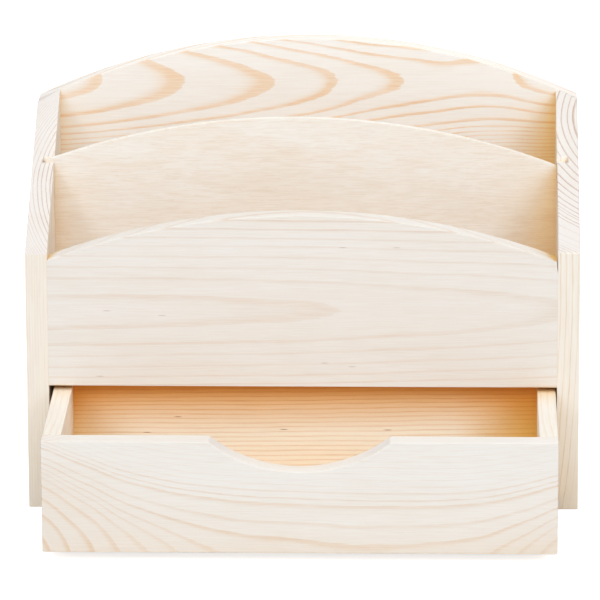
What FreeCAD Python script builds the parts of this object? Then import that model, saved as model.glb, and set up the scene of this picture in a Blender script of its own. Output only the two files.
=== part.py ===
import FreeCAD, Part

import os
import re

import Sketcher
from FreeCAD import Rotation, Vector

# Desk sorter for envelopes, in plain pine, with a drawer below. Millimetres.
#
# Frame: +X to the right, +Y to the back, +Z up. The origin is on the table, in the middle of the
# whole object's outline with the drawer pulled out, as it rests.
#
# The case is two pine sides with a sloped front edge, a pine back nailed on behind them and a pine
# front panel between them. Plywood makes the letter shelf, the floor that the drawer runs on and
# the divider that stands in two slots. The drawer is pine with a plywood bottom.

SIZES = (
    # name, size, what it measures
    ("case_width", 300.0, "outside width of the case"),
    ("case_depth", 128.0, "front edge of the sides to the rear face of the back"),
    ("case_height", 236.0, "table to the top of the back's arch"),
    ("board", 12.0, "thickness of the pine boards"),
    ("ply", 4.0, "thickness of the plywood sheets"),
    ("knee_left", 143.3, "height of the left side's front edge, where its slope begins"),
    ("knee_right", 145.5, "the same on the right side"),
    ("slope_top", 207.0, "height of the slope where it meets the back"),
    ("back_arch_radius", 349.6, "radius of the arch over the back and the tops of the sides"),
    ("back_arch_shift", 1.7, "how far that arch sits to the right of the middle"),
    ("front_bottom", 69.5, "height of the front panel's lower edge"),
    ("front_apex", 165.6, "height of the front panel's arch"),
    ("front_arch_radius", 387.3, "radius of the front panel's arch"),
    ("front_end_height", 140.0, "height of the front panel at its ends"),
    ("front_end_gap", 0.7, "gap at the top of the front panel's right end, where its corner is cut back"),
    ("front_end_gap_height", 6.5, "how far down that gap reaches"),
    ("divider_setback", 63.7, "case front to the front face of the divider"),
    ("divider_apex", 203.8, "height of the divider's arch"),
    ("divider_arch_radius", 394.4, "radius of the divider's arch"),
    ("divider_arch_shift", 5.5, "how far that arch sits to the left of the middle"),
    ("slot_depth", 6.4, "depth of the divider's slots in the sides"),
    ("slot_play", 0.2, "how much wider the slots are than the divider"),
    ("tenon", 4.7, "how far the divider reaches into each slot"),
    ("tenon_top", 179.0, "height of the divider inside the slots, level with the slopes round it"),
    ("groove", 4.0, "depth of the grooves for the plywood sheets"),
    ("groove_play", 0.3, "space left at the bottom of a groove"),
    ("floor_height", 1.5, "table to the underside of the case's floor"),
    ("floor_setback", 8.0, "case front to the front edge of the floor"),
    ("drawer_width", 273.0, "outside width of the drawer"),
    ("drawer_height", 61.4, "height of the drawer's boards"),
    ("drawer_length", 115.4, "front face to rear face of the drawer"),
    ("drawer_wall", 10.0, "thickness of the drawer's sides and back"),
    ("drawer_lift", 0.3, "space between the drawer and the floor it runs on"),
    ("drawer_open", 93.4, "how far the drawer stands open at rest"),
    ("drawer_offset", 0.8, "how far the drawer lies to the right within its side play"),
    ("bottom_inset", 4.0, "lower edge of the drawer to the underside of its bottom"),
    ("notch_width", 96.0, "width of the finger notch at the top edge"),
    ("notch_depth", 16.6, "depth of the finger notch"),
    ("notch_corner", 3.0, "rounding where the notch meets the top edge"),
    ("brad_radius", 0.8, "radius of the long brads' shanks"),
    ("brad_length", 30.0, "length of the long brads"),
    ("pin_radius", 0.6, "radius of the short brads' shanks"),
    ("pin_length", 18.0, "length of the short brads"),
    ("head_ratio", 1.6, "head radius over shank radius"),
    ("head_height", 1.0, "thickness of a brad's head"),
    ("dowel_radius", 3.0, "radius of the drawer front's blind dowels"),
    ("dowel_front", 8.0, "how far a dowel reaches into the drawer front"),
    ("dowel_side", 16.0, "how far a dowel reaches into a drawer side"),
)
ALIASES = {name for name, size, meaning in SIZES}

# Places that several pieces share, written from the driving sizes.
CASE_FRONT = "(drawer_open - case_depth) / 2"
CASE_INSIDE = "(case_width / 2 - board)"
BACK_FACE = "(case_depth - board)"
FLOOR_TOP = "(floor_height + ply)"
SHELF_TOP = "(front_bottom + ply)"
DRAWER_FRONT = "(-(drawer_open + case_depth) / 2)"
DRAWER_BASE = "(floor_height + ply + drawer_lift)"
BOTTOM_TOP = "(bottom_inset + ply)"

# Heights of the fasteners, from the table or from the drawer's lower edge.
BACK_BRADS = ("0.12 * case_height", "0.45 * case_height", "0.77 * case_height")
FRONT_BRADS = ("front_bottom + 2 * board", "front_end_height - 2 * board")
DRAWER_BRADS = ("0.4 * drawer_height", "0.8 * drawer_height")
DOWELS = ("0.35 * drawer_height", "0.75 * drawer_height")

SIDES = (("left", -1), ("right", 1))
ALONG_Y = Rotation(Vector(1, 0, 0), -90)  # lays an upright cylinder down, front to back

doc = FreeCAD.newDocument("EnvelopeSorter")


def cells(text):
    """Return a size with each of its names led back to the spreadsheet."""
    def led_back(word):
        return "Sizes." + word.group() if word.group() in ALIASES else word.group()
    return re.sub(r"[a-z_]+", led_back, text)


def number(text):
    """Work out a size as a plain number."""
    return float(sheet.evalExpression(cells(text)))


def make_sheet():
    """Write the driving dimensions into the document's spreadsheet."""
    table = doc.addObject("Spreadsheet::Sheet", "Sizes")
    for row, (name, size, meaning) in enumerate(SIZES, start=1):
        table.set(f"A{row}", name)
        table.set(f"B{row}", str(size))
        table.set(f"C{row}", meaning)
        table.setAlias(f"B{row}", name)
    doc.recompute()
    return table


def bind(thing, **sizes):
    """Bind an object's properties to sizes."""
    for prop, text in sizes.items():
        thing.setExpression(prop, cells(text))


def place(thing, x="0", y="0", z="0", turn=None):
    """Put an object at a point of the row's frame, turned if it has to be."""
    if turn is not None:
        thing.Placement = FreeCAD.Placement(Vector(), turn)
    for axis, text in (("x", x), ("y", y), ("z", z)):
        thing.setExpression("Placement.Base." + axis, cells(text))


# PartDesign: boards with sloped edges, grooves and notches.

def make_body(name, x="0", y="0", z="0"):
    """Start a board that is shaped feature by feature."""
    body = doc.addObject("PartDesign::Body", name)
    place(body, x, y, z)
    doc.recompute()
    return body


def start_sketch(body, name, role):
    """Lay a sketch on one of the body's own planes."""
    sketch = body.newObject("Sketcher::SketchObject", name)
    plane = next(feature for feature in body.Origin.OriginFeatures if feature.Role == role)
    sketch.AttachmentSupport = (plane, [""])
    sketch.MapMode = "FlatFace"
    return sketch


def dimension(sketch, kind, size, *geometry):
    """Add one driving constraint and bind it to a size."""
    index = sketch.addConstraint(Sketcher.Constraint(kind, *geometry, number(size)))
    sketch.setExpression(f"Constraints[{index}]", cells(size))


def outline(body, name, role, corners):
    """Draw a closed outline of straight lines, every corner set by two sizes."""
    sketch = start_sketch(body, name, role)
    points = [Vector(number(across), number(up), 0) for across, up in corners]
    for index, point in enumerate(points):
        following = points[(index + 1) % len(points)]
        sketch.addGeometry(Part.LineSegment(point, following))
    for index, (across, up) in enumerate(corners):
        last = (index - 1) % len(corners)
        sketch.addConstraint(Sketcher.Constraint("Coincident", last, 2, index, 1))
        dimension(sketch, "DistanceX", across, -1, 1, index, 1)
        dimension(sketch, "DistanceY", up, -1, 1, index, 1)
    return sketch


def rectangle(body, name, role, low, high):
    """Draw a rectangle between two opposite corners."""
    corners = (low, (high[0], low[1]), high, (low[0], high[1]))
    return outline(body, name, role, corners)


def pad(body, sketch, thickness, reverse):
    """Give the outline its thickness."""
    feature = body.newObject("PartDesign::Pad", sketch.Name + "_pad")
    feature.Profile = sketch
    feature.Reversed = reverse
    bind(feature, Length=thickness)
    doc.recompute()
    return feature


def pocket(body, sketch, depth, reverse):
    """Cut the sketch into the board, and make sure that it took wood away."""
    before = body.Shape.Volume
    feature = body.newObject("PartDesign::Pocket", sketch.Name + "_cut")
    feature.Profile = sketch
    feature.Reversed = reverse
    bind(feature, Length=depth)
    doc.recompute()
    if body.Shape.Volume > before - 1.0:
        raise RuntimeError(sketch.Name + " cuts nothing")
    return feature


# Part: plain sheets, arches and fasteners.

def sheet_of_wood(name, width, depth, height, x, y, z):
    """Make a plain rectangular board or sheet from its low corner."""
    box = doc.addObject("Part::Box", name)
    bind(box, Length=width, Width=depth, Height=height)
    place(box, x, y, z)
    return box


def arch_tool(name, radius, apex, shift):
    """Make the round bar, lying front to back, whose top is an arch."""
    bar = doc.addObject("Part::Cylinder", name)
    bind(bar, Radius=radius, Height="case_depth")
    place(bar, shift, CASE_FRONT, f"{apex} - {radius}", ALONG_Y)
    return bar


def under_arch(name, board, bar):
    """Trim a board to what lies under an arch."""
    trimmed = doc.addObject("Part::MultiCommon", name)
    trimmed.Shapes = [board, bar]
    return trimmed


def brad(name, radius, length, spot, heading):
    """Make one brad: a flat head flush with the surface, a shank and a point."""
    turn = Rotation(Vector(0, 0, 1), heading)
    head = doc.addObject("Part::Cylinder", name + "_head")
    bind(head, Radius=f"{radius} * head_ratio", Height="head_height")
    shank = doc.addObject("Part::Cylinder", name + "_shank")
    bind(shank, Radius=radius, Height=f"{length} - 2 * {radius}")
    point = doc.addObject("Part::Cone", name + "_point")
    bind(point, Radius1=radius, Radius2=f"{radius} / 4", Height=f"2 * {radius}")
    place(point, z=f"{length} - 2 * {radius}")
    whole = doc.addObject("Part::MultiFuse", name)
    whole.Shapes = [head, shank, point]
    place(whole, *spot, turn)
    return whole


def group(name, members):
    """Gather like fasteners of one seam as separate solids in one piece."""
    compound = doc.addObject("Part::Compound", name)
    compound.Links = members
    return compound


def brads(name, radius, length, spots, heading):
    """Make the brads of one seam."""
    members = [brad(f"{name}_{index}", radius, length, spot, heading)
               for index, spot in enumerate(spots, start=1)]
    return group(name, members)


def drilled(name, board, fasteners):
    """Take the fasteners' own shapes out of a board."""
    tool = fasteners[0] if len(fasteners) == 1 else group(name + "_holes", fasteners)
    cut = doc.addObject("Part::Cut", name)
    cut.Base = board
    cut.Tool = tool
    return cut


# The case.

def side_board(side, sign, arch):
    """Side with a sloped top edge, an open slot for the divider and two grooves for plywood."""
    body = make_body(f"side_{side}_board", f"{sign} * {CASE_INSIDE}", CASE_FRONT)
    leftward = sign < 0
    knee = "knee_" + side
    corners = (("0", "0"), (BACK_FACE, "0"), (BACK_FACE, "slope_top"), ("0", knee))
    pad(body, outline(body, f"side_{side}_outline", "YZ_Plane", corners), "board", leftward)
    slot_back = "divider_setback + ply + slot_play / 2"
    slot = rectangle(body, f"side_{side}_slot", "YZ_Plane",
                     ("divider_setback - slot_play / 2", SHELF_TOP), (slot_back, "case_height"))
    pocket(body, slot, "slot_depth", not leftward)
    shelf_groove = rectangle(body, f"side_{side}_shelf_groove", "YZ_Plane",
                             ("board", "front_bottom"), (BACK_FACE, SHELF_TOP))
    pocket(body, shelf_groove, "groove", not leftward)
    floor_groove = rectangle(body, f"side_{side}_floor_groove", "YZ_Plane",
                             ("floor_setback", "floor_height"), (BACK_FACE, FLOOR_TOP))
    pocket(body, floor_groove, "groove", not leftward)
    return under_arch(f"side_{side}_trimmed", body, arch)


def back_board(arch):
    """Back across the whole width, with an arched top."""
    board = sheet_of_wood("back_blank", "case_width", "board", "case_height",
                          "-case_width / 2", f"{CASE_FRONT} + {BACK_FACE}", "0")
    return under_arch("back_trimmed", board, arch)


def front_board():
    """Front panel between the sides, arched, with a small gap at the top of its right end."""
    body = make_body("front_board", y=CASE_FRONT)
    gap_end = f"{CASE_INSIDE} - front_end_gap"
    corners = ((f"-{CASE_INSIDE}", "front_bottom"), (CASE_INSIDE, "front_bottom"),
               (CASE_INSIDE, "front_end_height - front_end_gap_height"), (gap_end, "front_end_height"),
               (gap_end, "front_apex"), (f"-{CASE_INSIDE}", "front_apex"))
    pad(body, outline(body, "front_outline", "XZ_Plane", corners), "board", True)
    arch = arch_tool("front_arch", "front_arch_radius", "front_apex", "0")
    return under_arch("front_trimmed", body, arch)


def divider():
    """Plywood divider that stands on the shelf. Its ends fill the sides' slots up to the slopes."""
    front = f"{CASE_FRONT} + divider_setback"
    width = f"2 * ({CASE_INSIDE} + tenon)"
    blank = sheet_of_wood("divider_blank", width, "ply", f"divider_apex - {SHELF_TOP}",
                          f"-({CASE_INSIDE} + tenon)", front, SHELF_TOP)
    arch = arch_tool("divider_arch", "divider_arch_radius", "divider_apex", "-divider_arch_shift")
    ends = [sheet_of_wood(f"divider_end_{side}", "tenon", "ply", f"tenon_top - {SHELF_TOP}",
                          f"{sign} * ({CASE_INSIDE} + tenon / 2) - tenon / 2", front, SHELF_TOP)
            for side, sign in SIDES]
    whole = doc.addObject("Part::MultiFuse", "middle_divider")
    whole.Shapes = [under_arch("divider_middle", blank, arch), *ends]
    whole.Refine = True
    return whole


def grooved_sheet(name, front, underside):
    """Plywood sheet with its two ends in the sides' grooves and its rear edge against the back."""
    reach = f"({CASE_INSIDE} + groove - groove_play)"
    return sheet_of_wood(name, f"2 * {reach}", f"{BACK_FACE} - {front}", "ply",
                         f"-{reach}", f"{CASE_FRONT} + {front}", underside)


def make_case():
    """Build the case's boards and drive its brads."""
    arch = arch_tool("back_arch", "back_arch_radius", "case_height", "back_arch_shift")
    back_brads, front_brads = [], []
    pieces = []
    for side, sign in SIDES:
        edge = f"{sign} * (case_width - board) / 2"
        rear = f"{CASE_FRONT} + case_depth"
        spots = [(edge, rear, height) for height in BACK_BRADS]
        into_edge = brads(f"back_panel_brads_{side}", "brad_radius", "brad_length", spots, Vector(0, -1, 0))
        outer = f"{sign} * case_width / 2"
        middle = f"{CASE_FRONT} + board / 2"
        spots = [(outer, middle, height) for height in FRONT_BRADS]
        into_panel = brads(f"front_panel_brads_{side}", "brad_radius", "brad_length", spots,
                           Vector(-sign, 0, 0))
        back_brads.append(into_edge)
        front_brads.append(into_panel)
        board = side_board(side, sign, arch)
        pieces.append(drilled(f"side_panel_{side}", board, [into_edge, into_panel]))
    pieces.append(drilled("back_panel", back_board(arch), back_brads))
    pieces.append(drilled("front_panel", front_board(), front_brads))
    pieces.append(divider())
    pieces.append(grooved_sheet("letter_shelf", "board", "front_bottom"))
    pieces.append(grooved_sheet("case_floor", "floor_setback", "floor_height"))
    return pieces + back_brads + front_brads


# The drawer. Its boards are placed from its front face, its lower edge and its own middle.

def drawer_front_board():
    """Drawer front with a finger notch in its top edge and a groove for the bottom."""
    body = make_body("drawer_front_board", "drawer_offset", DRAWER_FRONT, DRAWER_BASE)
    pad(body, rectangle(body, "drawer_front_outline", "XZ_Plane", ("-drawer_width / 2", "0"),
                        ("drawer_width / 2", "drawer_height")), "board", True)
    groove_reach = "(drawer_width / 2 - drawer_wall + groove)"
    groove = rectangle(body, "drawer_front_groove", "XY_Plane", (f"-{groove_reach}", "board - groove"),
                       (groove_reach, "board"))
    groove.AttachmentOffset = FreeCAD.Placement(Vector(0, 0, number("bottom_inset")), Rotation())
    groove.setExpression("AttachmentOffset.Base.z", cells("bottom_inset"))
    pocket(body, groove, "ply", True)
    notch = start_sketch(body, "drawer_notch", "XZ_Plane")
    radius = "(notch_width ^ 2 / 4 + notch_depth ^ 2) / (2 * notch_depth)"
    centre = f"drawer_height - notch_depth + {radius}"
    notch.addGeometry(Part.Circle(Vector(0, number(centre), 0), Vector(0, 0, 1), number(radius)))
    notch.addConstraint(Sketcher.Constraint("PointOnObject", 0, 3, -2))
    dimension(notch, "DistanceY", centre, -1, 1, 0, 3)
    dimension(notch, "Radius", radius, 0)
    pocket(body, notch, "board", False)
    round_notch_corners(body)
    return body


def round_notch_corners(body):
    """Round the two edges where the finger notch meets the top of the drawer front."""
    reach = number("notch_width / 2")
    top = number("drawer_height")
    base = body.Tip
    corners = []
    for index, edge in enumerate(base.Shape.Edges, start=1):
        start, end = [vertex.Point for vertex in edge.Vertexes]
        goes_through = abs(start.x - end.x) < 0.01
        if goes_through and abs(abs(end.x) - reach) < 0.01 and abs(end.z - top) < 0.01:
            corners.append(f"Edge{index}")
    if len(corners) != 2:
        raise RuntimeError("the notch has no two corners to round")
    rounding = body.newObject("PartDesign::Fillet", "notch_rounding")
    rounding.Base = (base, corners)
    bind(rounding, Radius="notch_corner")
    doc.recompute()


def drawer_side_board(side, sign):
    """Drawer side behind the front, with a groove for the bottom."""
    inner = f"drawer_offset + {sign} * (drawer_width / 2 - drawer_wall)"
    body = make_body(f"drawer_{side}_board", inner, f"{DRAWER_FRONT} + board", DRAWER_BASE)
    leftward = sign < 0
    length = "drawer_length - board"
    pad(body, rectangle(body, f"drawer_{side}_outline", "YZ_Plane", ("0", "0"), (length, "drawer_height")),
        "drawer_wall", leftward)
    groove = rectangle(body, f"drawer_{side}_groove", "YZ_Plane", ("0", "bottom_inset"),
                       (length, BOTTOM_TOP))
    pocket(body, groove, "groove", not leftward)
    return body


def make_dowels(side, sign):
    """Blind dowels that hold the drawer front to one drawer side."""
    across = f"drawer_offset + {sign} * (drawer_width - drawer_wall) / 2"
    start = f"{DRAWER_FRONT} + board - dowel_front"
    dowels = []
    for index, height in enumerate(DOWELS, start=1):
        dowel = doc.addObject("Part::Cylinder", f"dowel_{side}_{index}")
        bind(dowel, Radius="dowel_radius", Height="dowel_front + dowel_side")
        place(dowel, across, start, f"{DRAWER_BASE} + {height}", ALONG_Y)
        dowels.append(dowel)
    return group(f"drawer_front_dowels_{side}", dowels)


def make_drawer():
    """Build the drawer's boards, its dowels and its brads."""
    rear = f"{DRAWER_FRONT} + drawer_length - drawer_wall / 2"
    inside = "(drawer_width - 2 * drawer_wall)"
    dowels, back_brads = [], []
    pieces = []
    for side, sign in SIDES:
        dowels.append(make_dowels(side, sign))
        outer = f"drawer_offset + {sign} * drawer_width / 2"
        spots = [(outer, rear, f"{DRAWER_BASE} + {height}") for height in DRAWER_BRADS]
        into_back = brads(f"drawer_back_brads_{side}", "brad_radius", "brad_length", spots,
                          Vector(-sign, 0, 0))
        back_brads.append(into_back)
        board = drawer_side_board(side, sign)
        pieces.append(drilled(f"drawer_side_{side}", board, [dowels[-1], into_back]))
    thirds = (-1, 0, 1)
    spots = [(f"drawer_offset + {step} * {inside} / 3", rear, f"{DRAWER_BASE} + bottom_inset")
             for step in thirds]
    bottom_brads = brads("drawer_bottom_brads", "pin_radius", "pin_length", spots, Vector(0, 0, 1))
    pieces.append(drilled("drawer_front", drawer_front_board(), dowels))
    back = sheet_of_wood("drawer_back_board", inside, "drawer_wall", f"drawer_height - {BOTTOM_TOP}",
                         f"drawer_offset - {inside} / 2", f"{DRAWER_FRONT} + drawer_length - drawer_wall",
                         f"{DRAWER_BASE} + {BOTTOM_TOP}")
    pieces.append(drilled("drawer_back", back, back_brads + [bottom_brads]))
    reach = f"({inside} / 2 + groove - groove_play)"
    bottom_front = "(board - groove + groove_play)"
    bottom = sheet_of_wood("drawer_bottom_sheet", f"2 * {reach}", f"drawer_length - {bottom_front}", "ply",
                           f"drawer_offset - {reach}", f"{DRAWER_FRONT} + {bottom_front}",
                           f"{DRAWER_BASE} + bottom_inset")
    pieces.append(drilled("drawer_bottom", bottom, [bottom_brads]))
    return pieces + dowels + back_brads + [bottom_brads]


def check(pieces):
    """Stop if anything in the document failed or a piece is not sound."""
    for thing in doc.Objects:
        if "Invalid" in thing.State or "Error" in thing.State:
            raise RuntimeError(f"{thing.Name} did not build: {thing.State}")
    for piece in pieces:
        if piece.Shape.isNull() or not piece.Shape.isValid() or not piece.Shape.Solids:
            raise RuntimeError(f"{piece.Label} is not a sound solid")


def write(pieces):
    """Write each piece under its label, and print its size."""
    os.makedirs("parts", exist_ok=True)
    for piece in pieces:
        shape, box = piece.Shape, piece.Shape.BoundBox
        shape.exportStep(f"parts/{piece.Label}.step")
        print(f"{piece.Label:28s} {len(shape.Solids)} solid(s) {shape.Volume / 1000:8.2f} cm3",
              f"x {box.XMin:7.1f} {box.XMax:7.1f}  y {box.YMin:7.1f} {box.YMax:7.1f}",
              f"z {box.ZMin:6.1f} {box.ZMax:6.1f}")


sheet = make_sheet()
all_pieces = make_case() + make_drawer()
doc.recompute()
check(all_pieces)
write(all_pieces)
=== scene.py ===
import math
from typing import NamedTuple

import bmesh
import bpy
from bpy.props import FloatProperty, FloatVectorProperty, IntProperty, PointerProperty
from mathutils import Matrix, Vector


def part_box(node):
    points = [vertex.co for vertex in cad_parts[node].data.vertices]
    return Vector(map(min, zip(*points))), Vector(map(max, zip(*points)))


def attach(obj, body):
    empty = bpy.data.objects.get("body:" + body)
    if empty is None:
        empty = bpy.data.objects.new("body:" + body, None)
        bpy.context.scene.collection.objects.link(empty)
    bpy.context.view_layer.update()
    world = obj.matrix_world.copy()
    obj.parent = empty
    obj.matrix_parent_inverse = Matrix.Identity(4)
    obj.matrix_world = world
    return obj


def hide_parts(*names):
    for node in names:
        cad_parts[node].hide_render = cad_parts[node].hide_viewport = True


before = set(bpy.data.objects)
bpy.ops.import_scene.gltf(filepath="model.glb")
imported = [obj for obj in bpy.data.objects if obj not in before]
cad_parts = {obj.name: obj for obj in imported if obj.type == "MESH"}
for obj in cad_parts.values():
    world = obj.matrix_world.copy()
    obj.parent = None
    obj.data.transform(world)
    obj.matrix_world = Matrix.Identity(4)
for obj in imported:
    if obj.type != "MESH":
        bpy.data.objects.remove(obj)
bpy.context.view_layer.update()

bl_info = {
    "name": "Envelope sorter with drawer",
    "version": (1, 0, 0),
    "blender": (4, 5, 0),
    "location": "3D View > Sidebar > Sorter",
    "description": "Dresses a pine envelope sorter: eased boards, solid wood, fasteners and a plain stage",
    "category": "Object",
}

MM = 0.001
QUARTER_TURN = math.radians(90)


def linear(code):
    """Turn an sRGB hex colour into the linear colour that the shaders use."""
    parts = [int(code[at:at + 2], 16) / 255 for at in (1, 3, 5)]
    # the sRGB curve is straight near black and a power above it
    return tuple(p / 12.92 if p <= 0.04045 else ((p + 0.055) / 1.055) ** 2.4 for p in parts) + (1.0,)


# Sizes and colours ---------------------------------------------------------------------------

def colour(name, description, code):
    """A colour that a user may change."""
    return FloatVectorProperty(name=name, description=description, subtype="COLOR", size=4,
                               min=0.0, max=1.0, default=linear(code))


def length(name, description, millimetres):
    """A length that a user may change, given here in millimetres."""
    return FloatProperty(name=name, description=description, unit="LENGTH", min=0.0,
                         default=millimetres * MM, precision=5)


def angle(name, description, degrees):
    """An angle that a user may change, given here in degrees."""
    return FloatProperty(name=name, description=description, unit="ROTATION",
                         default=math.radians(degrees))


class SorterEdges(bpy.types.PropertyGroup):
    """How the edges of the boards are finished"""
    eased: length("Eased edge", "Radius of the sanded outer edges", 0.7)
    sawn: length("Sawn edge", "Radius of the edges that are left as sawn, at the joints", 0.12)
    steps: IntProperty(name="Steps", description="Faces across a rounded edge", default=3, min=1, max=8)


class SorterPine(bpy.types.PropertyGroup):
    """Colours of the solid pine: two for each tone that a Cut can name, and two tints"""
    front: colour("Front board", "Spring wood of the front board", "#F1E9DF")
    front_line: colour("Front board lines", "Summer wood of the front board", "#E8D4C0")
    back: colour("Back board", "Spring wood of the back board", "#FEF6EC")
    back_line: colour("Back board lines", "Summer wood of the back board", "#F6CD9C")
    side: colour("Sides", "Spring wood of the side boards and the drawer's sides", "#F8EEE0")
    side_line: colour("Side lines", "Summer wood of the side boards and the drawer's sides", "#E8CFAC")
    drawer: colour("Drawer front", "Spring wood of the drawer front", "#F4ECE2")
    drawer_line: colour("Drawer front lines", "Summer wood of the drawer front", "#EBD4BA")
    inner: colour("Drawer back", "Spring wood of the drawer's back", "#F8EEDD")
    inner_line: colour("Drawer back lines", "Summer wood of the drawer's back", "#E2B071")
    # warmer wood near the pith; on the drawer back it is also painted shade under the front board, darker and
    # orange towards the top
    heart_and_shade: colour("Heart side", "Tint of the wood near the pith", "#F4BD68")
    # colour of the painted shade that darkens recesses and turns them orange
    recess_shade_tint: colour("Recess", "Tint of wood that other wood stands close to", "#EEC569")


class SorterPlywood(bpy.types.PropertyGroup):
    """Colours of the birch plywood"""
    veneer: colour("Veneer", "Face veneer of the birch plywood", "#FAF1E5")
    vessel: colour("Vessels", "Fine open vessels in the veneer", "#E3C9A8")
    core: colour("Core", "Middle ply, seen at the edges", "#FBF5EB")
    glue: colour("Glue line", "Glue between the plies", "#E6CFAE")


class SorterFasteners(bpy.types.PropertyGroup):
    """Finish of the brads and the dowels"""
    steel: colour("Steel", "Bright drawn steel of the brads", "#B9B8B4")
    beech: colour("Beech", "Turned beech of the dowels", "#D9A878")
    head_ratio: FloatProperty(name="Head", description="Width of a brad's head over its shank", default=1.6)
    head: length("Head thickness", "Thickness of a brad's head", 1.0)
    flute: length("Flute", "Depth of the flutes in a dowel", 0.2)


class SorterStage(bpy.types.PropertyGroup):
    """The camera, the light from all round and the floor"""
    place: FloatVectorProperty(name="Camera", description="Where the camera stands", unit="LENGTH",
                               subtype="TRANSLATION", default=(0.08196, -2.80986, 0.92041))
    pitch: angle("Pitch", "How far the camera looks down", 16.015)
    yaw: angle("Yaw", "How far the camera turns to the left", 1.706)
    roll: angle("Roll", "How far the camera leans", -0.244)
    lens: FloatProperty(name="Lens", description="Focal length on a 36 mm sensor, in millimetres",
                        default=322.67)
    sky: FloatProperty(name="Sky", description="Strength of the even light from all round", default=0.47)
    air: colour("Light", "Colour of the soft boxes and of the light from all round", "#F2F8FF")
    floor: colour("Floor", "Colour of the floor", "#F2F2F2")
    bounce: FloatProperty(name="Floor bounce", description="Share of its light the floor sends back up",
                          default=0.6, min=0.0, max=1.0)
    lift: FloatProperty(name="Floor lift", description="Light added where the camera sees the floor",
                        default=0.72)


# Materials -----------------------------------------------------------------------------------

NODE_STEP = 180  # how far apart the nodes of a material are laid out
WHITE = (1.0, 1.0, 1.0, 1.0)


def add(tree, kind, *inputs, curve=None, straight=False, named=None, **settings):
    """Add one node, give it its settings and curve, and set or link its inputs, in order or by name."""
    node = tree.nodes.new("ShaderNode" + kind)
    node.location = (NODE_STEP * len(tree.nodes), 0)
    for name, value in settings.items():
        setattr(node, name, value)
    if curve:
        points = node.mapping.curves[0].points
        for spot in curve[1:-1]:
            points.new(*spot)
        points[0].location = curve[0]
        points[-1].location = curve[-1]
        for point in points:
            point.handle_type = "VECTOR" if straight else "AUTO_CLAMPED"
        node.mapping.update()
    given = list(zip([socket for socket in node.inputs if socket.enabled], inputs))
    given += [(node.inputs[name], value) for name, value in (named or {}).items()]
    for socket, value in given:
        if isinstance(value, bpy.types.Node):
            value = next(output for output in value.outputs if output.enabled)
        if isinstance(value, bpy.types.NodeSocket):
            tree.links.new(value, socket)
        elif value is not None:
            socket.default_value = value
    return node


def new_material(name):
    """An empty node material, and the place on the part in millimetres."""
    material = bpy.data.materials.new(name)
    material.use_nodes = True
    tree = material.node_tree
    tree.nodes.clear()
    place = add(tree, "TexCoord").outputs["Object"]
    in_mm = add(tree, "VectorMath", place, named={"Scale": 1 / MM}, operation="SCALE")
    return material, tree, in_mm


def along_grain(tree, in_mm, axes):
    """The place in the wood's own directions: along, into and across the grain."""
    apart = add(tree, "SeparateXYZ", in_mm)
    return add(tree, "CombineXYZ", *(apart.outputs[axis] for axis in axes))


def mottle(tree, place, size, seed, detail=2.0):
    """Soft lumps of light and dark, about size millimetres long, deep and high."""
    spread = add(tree, "VectorMath", place, [1 / step for step in size], (seed, seed, seed),
                 operation="MULTIPLY_ADD")
    return add(tree, "TexNoise", spread, 1.0, detail)


class Marks(NamedTuple):
    """A pattern of soft marks in the wood or the steel."""
    size: tuple    # of one mark in millimetres: along, into and across the grain, or along x, y and z
    fades: tuple   # the level of the mottle where a mark begins, and where it is full
    gives: tuple   # what comes out where there is no mark, and where one is full
    shift: float = 0.0   # keeps the pattern apart from the others
    detail: float = 2.0  # how finely the marks break up


def marks(tree, place, pattern, seed=0.0):
    """How strong a pattern of marks is at each place."""
    level = mottle(tree, place, pattern.size, seed + pattern.shift, pattern.detail)
    return add(tree, "MapRange", level, *pattern.fades, *pattern.gives)


# Solid pine, planed and left bare

SLOW_BENDS = (60.0, 20.0, 20.0)   # size of the gentle bends of the rings, in millimetres
RAGGED_BENDS = (14.0, 1.1, 1.1)   # size of the small unevenness of a ring line
RAGGED = 0.225                    # how far that unevenness reaches, in millimetres
RAGGED_SHIFT = 5.0                # keeps it apart from the gentle bends
RING_REACH = 150.0                # largest distance from the pith in any board, in millimetres
# how dark a ring line is, at shares of its width inside its sharp outer edge
LINE_PROFILE = ((1.5, 0.02), (0.8, 0.5), (0.4, 1.0), (0.12, 0.9))
PATCHES = Marks((40.0, 12.0, 12.0), (0.3, 0.7), (0.75, 1.15), shift=11.0)   # where lines fade and return
FIBRES = Marks((15.0, 0.55, 0.55), (0.35, 0.7), (0.0, 1.0), shift=17.0, detail=3.0)
CLOUDS = Marks((90.0, 14.0, 14.0), (0.3, 0.75), (0.0, 0.12), shift=23.0)    # slow changes of tone
STREAKS = (0.8, 1.15)             # how strong a line is between the dark fibres, and on one
FIBRE_TINT = 0.12                 # how much a fibre darkens the wood
END_TURN = (0.3, 0.8)             # how squarely a face cuts the grain where end grain begins, and is full
END_DARKER = 1.35                 # how much stronger the lines are there
FLECK_SHAPE = (0.42, 0.0, 4.0)    # makes a dash of about 5 by 0.5 mm a circle of radius 1
FLECK_FADE = (0.4, 1.2)           # that radius where a fleck begins to fade, and where it ends
FIBRE_SHADE = linear("#E0C49C")
CLOUD_SHADE = linear("#F0DCC0")
FLECK_SHADE = linear("#A46C36")
END_SHADE = linear("#F1F1F6")
END_LINE = linear("#D3B69C")

# Painted shade: where other wood stands close, the wood's colour is darkened and turned orange, as shade
# would be
RECESS_REACH = 45 * MM            # how near other wood has to be for painted shade to fall on a face
RECESS_LEAN = (0.3, 0.0, 0.35)    # the painted shade leans to the right and up, towards the strongest light, so a face darkens most where wood blocks that light
RECESS_OPEN = (0.85, 0.45)        # open share of the surroundings where the painted shade begins, and is full
RECESS_DEEPENS = 1.3              # the painted shade deepens faster than the recess closes

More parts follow.
